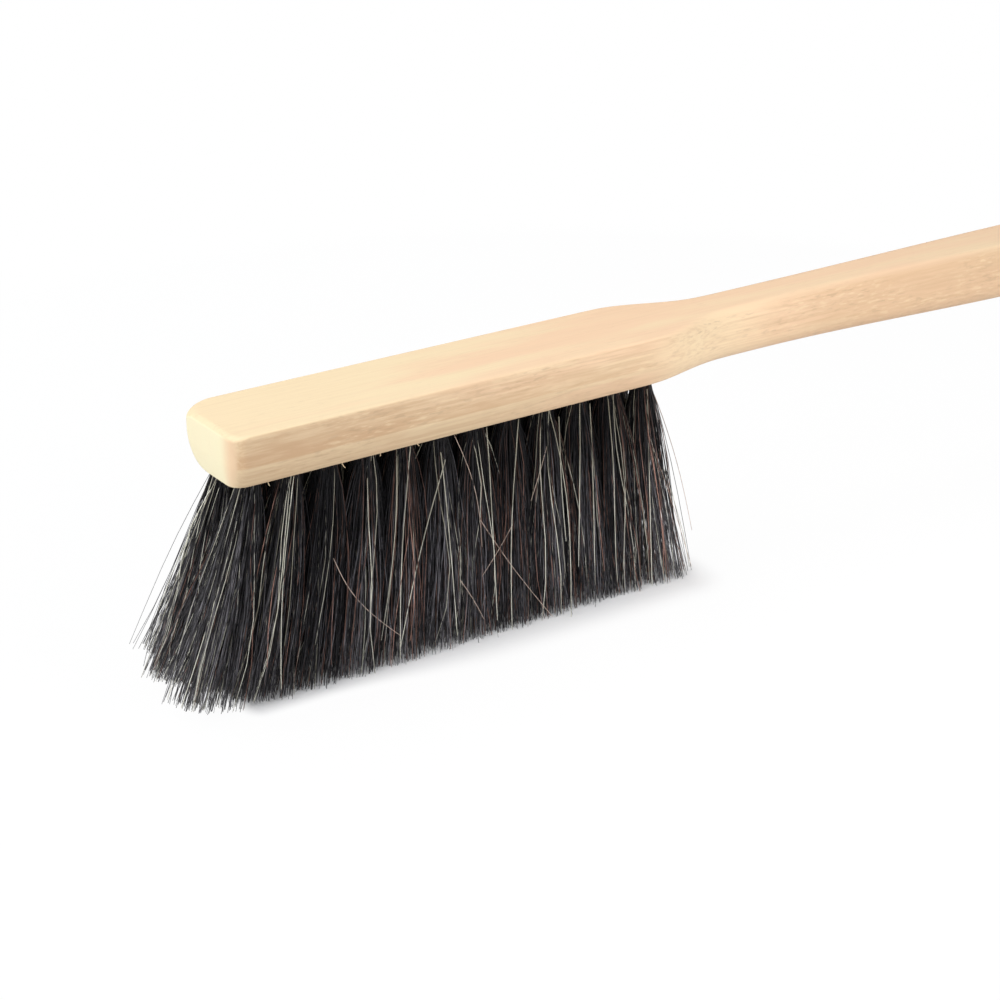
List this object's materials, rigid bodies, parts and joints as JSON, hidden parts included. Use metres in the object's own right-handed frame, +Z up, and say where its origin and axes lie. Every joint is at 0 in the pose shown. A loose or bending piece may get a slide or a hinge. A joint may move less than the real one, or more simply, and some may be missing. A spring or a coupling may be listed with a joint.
{
  "type": "wash brush",
  "caption": "Long-handled wooden wash brush: flat bevelled head, drawn-in shoulders, swelling rounded grip with a hang hole, and flared dark fibre tufts anchored in blind holes.",
  "frame": {"origin": "on the floor under the middle of the brush's box, with the brush standing on its bristle tips", "axes": "+X along the handle from the head to the butt, +Y across the head, +Z up out of the head's plain back"},
  "size_m": [0.477, 0.0638, 0.1],
  "materials": {
    "beech": "satin",
    "fibre": "satin",
    "anchor_wire": "satin"
  },
  "bodies": {
    "root": {"stock": "beech", "bristle_row_1": "fibre", "bristle_row_2": "fibre", "bristle_row_3": "fibre", "bristle_row_4": "fibre", "tuft_anchor_1_1": "anchor_wire", "tuft_anchor_1_2": "anchor_wire", "tuft_anchor_1_3": "anchor_wire", "tuft_anchor_1_4": "anchor_wire", "tuft_anchor_1_5": "anchor_wire", "tuft_anchor_1_6": "anchor_wire", "tuft_anchor_1_7": "anchor_wire", "tuft_anchor_1_8": "anchor_wire", "tuft_anchor_1_9": "anchor_wire", "tuft_anchor_1_10": "anchor_wire", "tuft_anchor_1_11": "anchor_wire", "tuft_anchor_1_12": "anchor_wire", "tuft_anchor_2_1": "anchor_wire", "tuft_anchor_2_2": "anchor_wire", "tuft_anchor_2_3": "anchor_wire", "tuft_anchor_2_4": "anchor_wire", "tuft_anchor_2_5": "anchor_wire", "tuft_anchor_2_6": "anchor_wire", "tuft_anchor_2_7": "anchor_wire", "tuft_anchor_2_8": "anchor_wire", "tuft_anchor_2_9": "anchor_wire", "tuft_anchor_2_10": "anchor_wire", "tuft_anchor_2_11": "anchor_wire", "tuft_anchor_3_1": "anchor_wire", "tuft_anchor_3_2": "anchor_wire", "tuft_anchor_3_3": "anchor_wire", "tuft_anchor_3_4": "anchor_wire", "tuft_anchor_3_5": "anchor_wire", "tuft_anchor_3_6": "anchor_wire", "tuft_anchor_3_7": "anchor_wire", "tuft_anchor_3_8": "anchor_wire", "tuft_anchor_3_9": "anchor_wire", "tuft_anchor_3_10": "anchor_wire", "tuft_anchor_3_11": "anchor_wire", "tuft_anchor_3_12": "anchor_wire", "tuft_anchor_4_1": "anchor_wire", "tuft_anchor_4_2": "anchor_wire", "tuft_anchor_4_3": "anchor_wire", "tuft_anchor_4_4": "anchor_wire", "tuft_anchor_4_5": "anchor_wire", "tuft_anchor_4_6": "anchor_wire", "tuft_anchor_4_7": "anchor_wire", "tuft_anchor_4_8": "anchor_wire", "tuft_anchor_4_9": "anchor_wire", "tuft_anchor_4_10": "anchor_wire", "tuft_anchor_4_11": "anchor_wire"}
  },
  "joints": []
}
